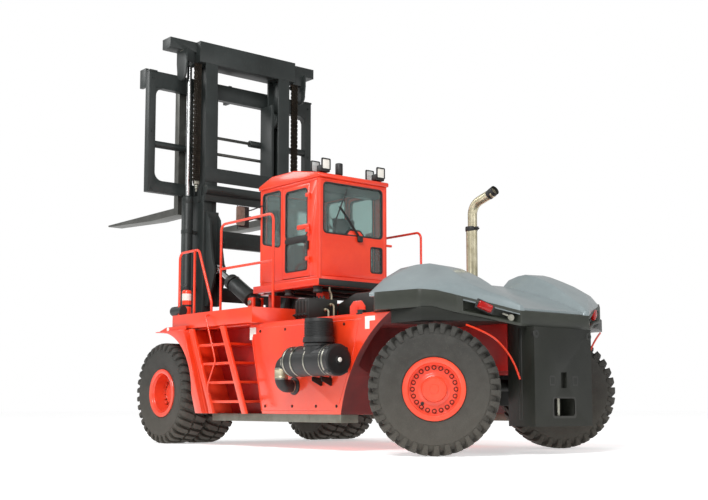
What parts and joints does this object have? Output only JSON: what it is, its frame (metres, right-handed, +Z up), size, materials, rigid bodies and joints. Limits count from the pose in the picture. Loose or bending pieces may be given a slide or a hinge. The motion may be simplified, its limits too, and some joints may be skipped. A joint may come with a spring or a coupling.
{
  "type": "diesel forklift",
  "caption": "Heavy diesel forklift with raised two-stage mast, side-shifting forks on a wide carriage, central cab, twin front tyres and steered rear wheels.",
  "frame": {"origin": "ground plane under the middle of the whole truck's box", "axes": "+X forward along the forks, +Y to the driver's left, +Z up"},
  "size_m": [10.46, 4.6056, 6.9899],
  "materials": {
    "red_paint": "gloss",
    "dark_red_paint": "gloss",
    "mast_paint": "satin",
    "black_paint": "satin",
    "grey_paint": "satin",
    "board_paint": "matt",
    "fork_steel": "satin",
    "chrome_rod": "polished",
    "exhaust_steel": "satin",
    "tyre_rubber": "matt",
    "seat_fabric": "matt",
    "cab_glass": "polished",
    "black_plastic": "matt"
  },
  "bodies": {
    "root": {"drive_axle": "black_paint", "steer_axle": "black_paint", "main_frame": "dark_red_paint", "side_tanks": "red_paint", "step_boxes": "dark_red_paint", "fenders": "red_paint", "running_boards": "board_paint", "ladders": "red_paint", "platforms": "red_paint", "handrails": "red_paint", "cab_base": "red_paint", "cab_floor": "black_paint", "cab_sides": "red_paint", "cab_ends": "red_paint", "cab_roof": "red_paint", "cab_glass": "cab_glass", "driver_seat": "seat_fabric", "steering_console": "black_plastic", "rear_hood": "grey_paint", "counterweight": "black_paint", "engine_block": "black_paint", "engine_cover": "grey_paint", "exhaust_stack": "exhaust_steel", "air_cleaner": "black_plastic", "valve_block": "black_paint", "extinguisher": "red_paint", "roof_lamps": "black_plastic", "mirrors": "black_plastic"},
    "wheel_front_left": {"drive_tyres_left": "tyre_rubber", "drive_rims_left": "red_paint"},
    "knuckle_left": {"knuckle_left": "black_paint"},
    "wheel_rear_left": {"steer_tyre_left": "tyre_rubber", "steer_rim_left": "red_paint"},
    "door_left": {"door_left": "red_paint", "door_glass_left": "cab_glass"},
    "wheel_front_right": {"drive_tyres_right": "tyre_rubber", "drive_rims_right": "red_paint"},
    "knuckle_right": {"knuckle_right": "black_paint"},
    "wheel_rear_right": {"steer_tyre_right": "tyre_rubber", "steer_rim_right": "red_paint"},
    "door_right": {"door_right": "red_paint", "door_glass_right": "cab_glass"},
    "mast_outer": {"outer_uprights": "mast_paint", "outer_crossmembers": "mast_paint", "mast_brackets": "mast_paint", "lift_barrels": "mast_paint"},
    "tilt_barrel": {"tilt_barrels": "mast_paint"},
    "tilt_rod": {"tilt_rods": "chrome_rod"},
    "mast_inner": {"inner_uprights": "mast_paint", "inner_crossbeams": "mast_paint", "lift_rods": "chrome_rod", "lift_chains": "mast_paint"},
    "carriage": {"carriage_frame": "mast_paint", "roller_brackets": "mast_paint", "fork_shaft": "mast_paint", "positioner_barrels": "mast_paint"},
    "fork_left": {"fork_left": "fork_steel"},
    "fork_right": {"fork_right": "fork_steel"}
  },
  "joints": [
    {"name": "wheel_front_left_spin", "type": "hinge", "parent": "root", "child": "wheel_front_left", "pos_m": [1.48, 1.48, 0.8075], "axis": [0, 1, 0], "continuous": true},
    {"name": "steer_left", "type": "hinge", "parent": "root", "child": "knuckle_left", "pos_m": [-4.19, 1.267, 0.8075], "axis": [0, 0, 1], "range_deg": [-92, 4]},
    {"name": "wheel_rear_left_spin", "type": "hinge", "parent": "knuckle_left", "child": "wheel_rear_left", "pos_m": [-4.19, 1.267, 0.8075], "axis": [-0.7193, 0.6947, 0], "continuous": true},
    {"name": "door_left_hinge", "type": "hinge", "parent": "root", "child": "door_left", "pos_m": [-0.79, 0.712, 3.3], "axis": [0, 0, 1], "range_deg": [0, 85]},
    {"name": "wheel_front_right_spin", "type": "hinge", "parent": "root", "child": "wheel_front_right", "pos_m": [1.48, -1.48, 0.8075], "axis": [0, 1, 0], "continuous": true},
    {"name": "steer_right", "type": "hinge", "parent": "root", "child": "knuckle_right", "pos_m": [-4.19, -1.267, 0.8075], "axis": [0, 0, 1], "range_deg": [-112, 4.87]},
    {"name": "wheel_rear_right_spin", "type": "hinge", "parent": "knuckle_right", "child": "wheel_rear_right", "pos_m": [-4.19, -1.267, 0.8075], "axis": [-0.829, 0.5592, 0], "continuous": true},
    {"name": "door_right_hinge", "type": "hinge", "parent": "root", "child": "door_right", "pos_m": [-0.79, -0.712, 3.3], "axis": [0, 0, -1], "range_deg": [0, 85]},
    {"name": "mast_tilt", "type": "hinge", "parent": "root", "child": "mast_outer", "pos_m": [1.48, 0, 0.8075], "axis": [0, 1, 0], "range_deg": [-10, 5]},
    {"name": "tilt_barrel_pivot", "type": "hinge", "parent": "root", "child": "tilt_barrel", "pos_m": [0.54, 0, 2.27], "axis": [0, 1, 0], "range_deg": [-10.5, 5.5]},
    {"name": "tilt_rod_slide", "type": "slide", "parent": "tilt_barrel", "child": "tilt_rod", "axis": [0.8654, 0, 0.501], "range_m": [-0.31, 0.16]},
    {"name": "mast_lift", "type": "slide", "parent": "mast_outer", "child": "mast_inner", "axis": [0, 0, 1], "range_m": [-1.95, 0.2]},
    {"name": "carriage_lift", "type": "slide", "parent": "mast_inner", "child": "carriage", "axis": [0, 0, 1], "range_m": [-1.95, 0.2]},
    {"name": "fork_left_slide", "type": "slide", "parent": "carriage", "child": "fork_left", "axis": [0, 1, 0], "range_m": [-0.55, 0.45]},
    {"name": "fork_right_slide", "type": "slide", "parent": "carriage", "child": "fork_right", "axis": [0, -1, 0], "range_m": [-0.55, 0.45]}
  ],
  "couplings": [
    {"joint": "steer_right", "follows": "steer_left", "ratio": 1.2174},
    {"joint": "tilt_barrel_pivot", "follows": "mast_tilt", "ratio": 1},
    {"joint": "tilt_rod_slide", "follows": "mast_tilt", "m_per_rad": 1.735},
    {"joint": "carriage_lift", "follows": "mast_lift", "ratio": 1}
  ]
}
